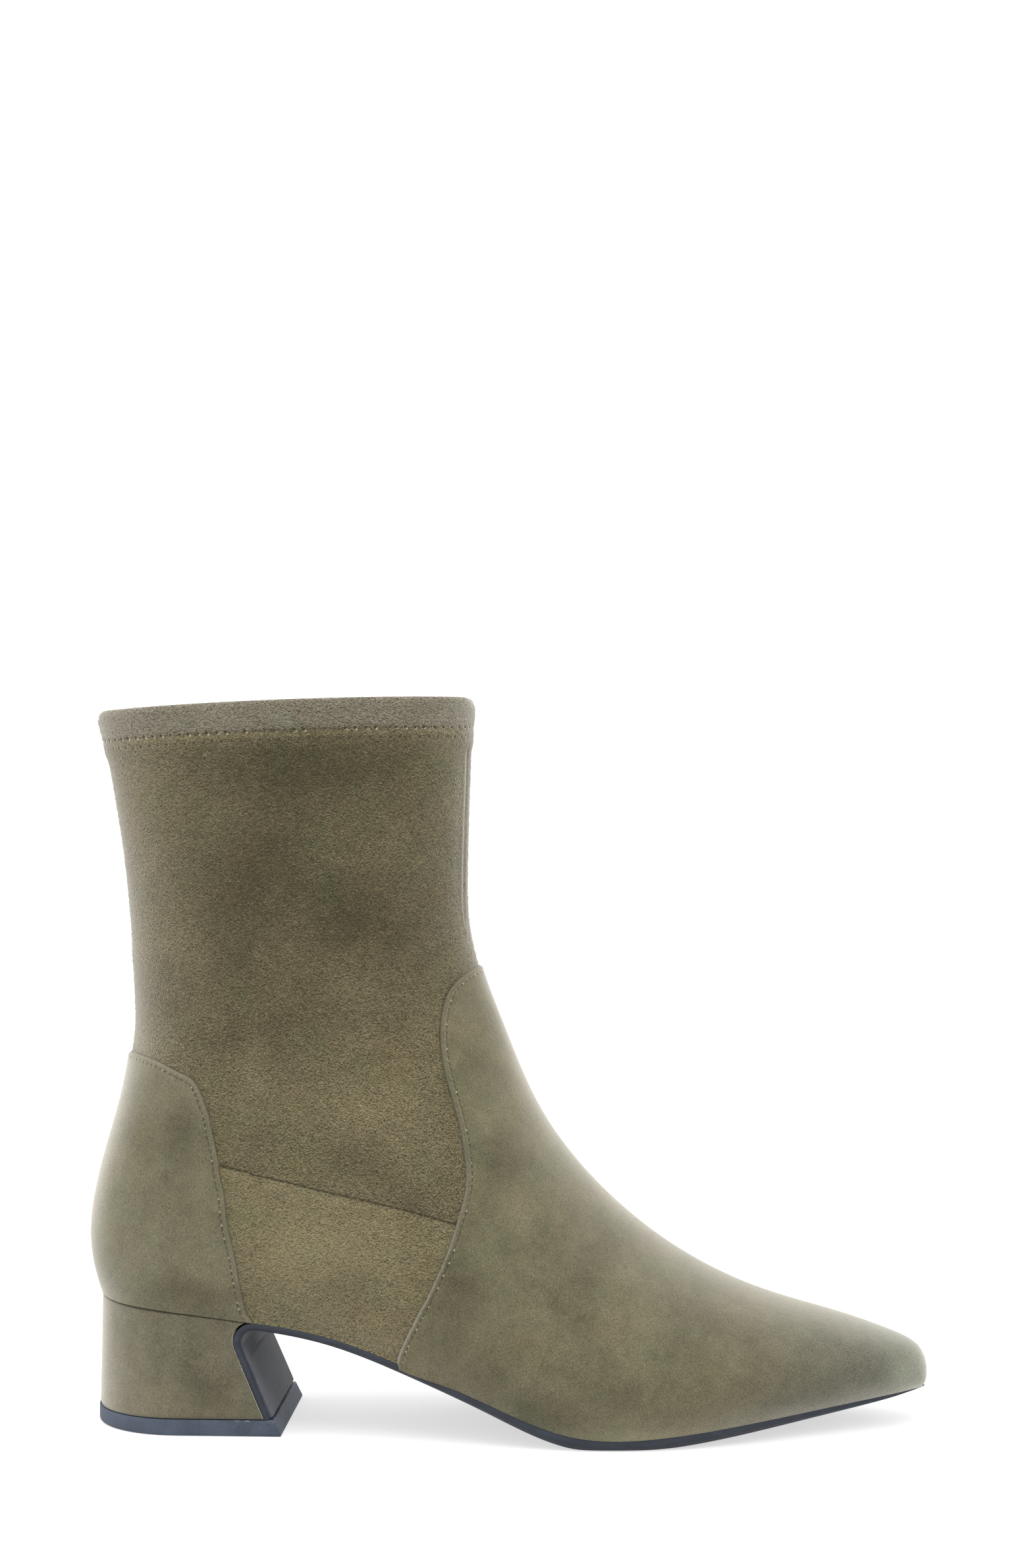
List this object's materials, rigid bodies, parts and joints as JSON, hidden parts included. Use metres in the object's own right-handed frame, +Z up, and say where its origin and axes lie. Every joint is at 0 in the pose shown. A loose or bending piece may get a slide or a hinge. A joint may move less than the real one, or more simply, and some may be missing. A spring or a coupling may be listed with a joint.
{
  "type": "ankle boot",
  "caption": "Pointed short boot for the right foot, with a stretch suede shaft, a suede vamp and counter, a thin sole and a low covered block heel.",
  "frame": {"origin": "centre of the boot's bounding box on the floor", "axes": "+X from heel to toe, +Y towards the inner side of the foot, +Z up"},
  "size_m": [0.2634, 0.0834, 0.2272],
  "materials": {
    "stretch_suede": "short brushed nap, olive",
    "vamp_suede": "fine suede, olive",
    "counter_suede": "fine suede, olive",
    "insole_board": "smooth lining, sand",
    "sole_rubber": "matt, blue grey",
    "heel_suede": "fine suede, olive",
    "lift_rubber": "satin, black"
  },
  "bodies": {
    "root": {"upper": "stretch_suede", "vamp": "vamp_suede", "counter": "counter_suede", "insole": "insole_board", "outsole": "sole_rubber", "heel_block": "heel_suede", "top_lift": "lift_rubber"}
  },
  "joints": []
}
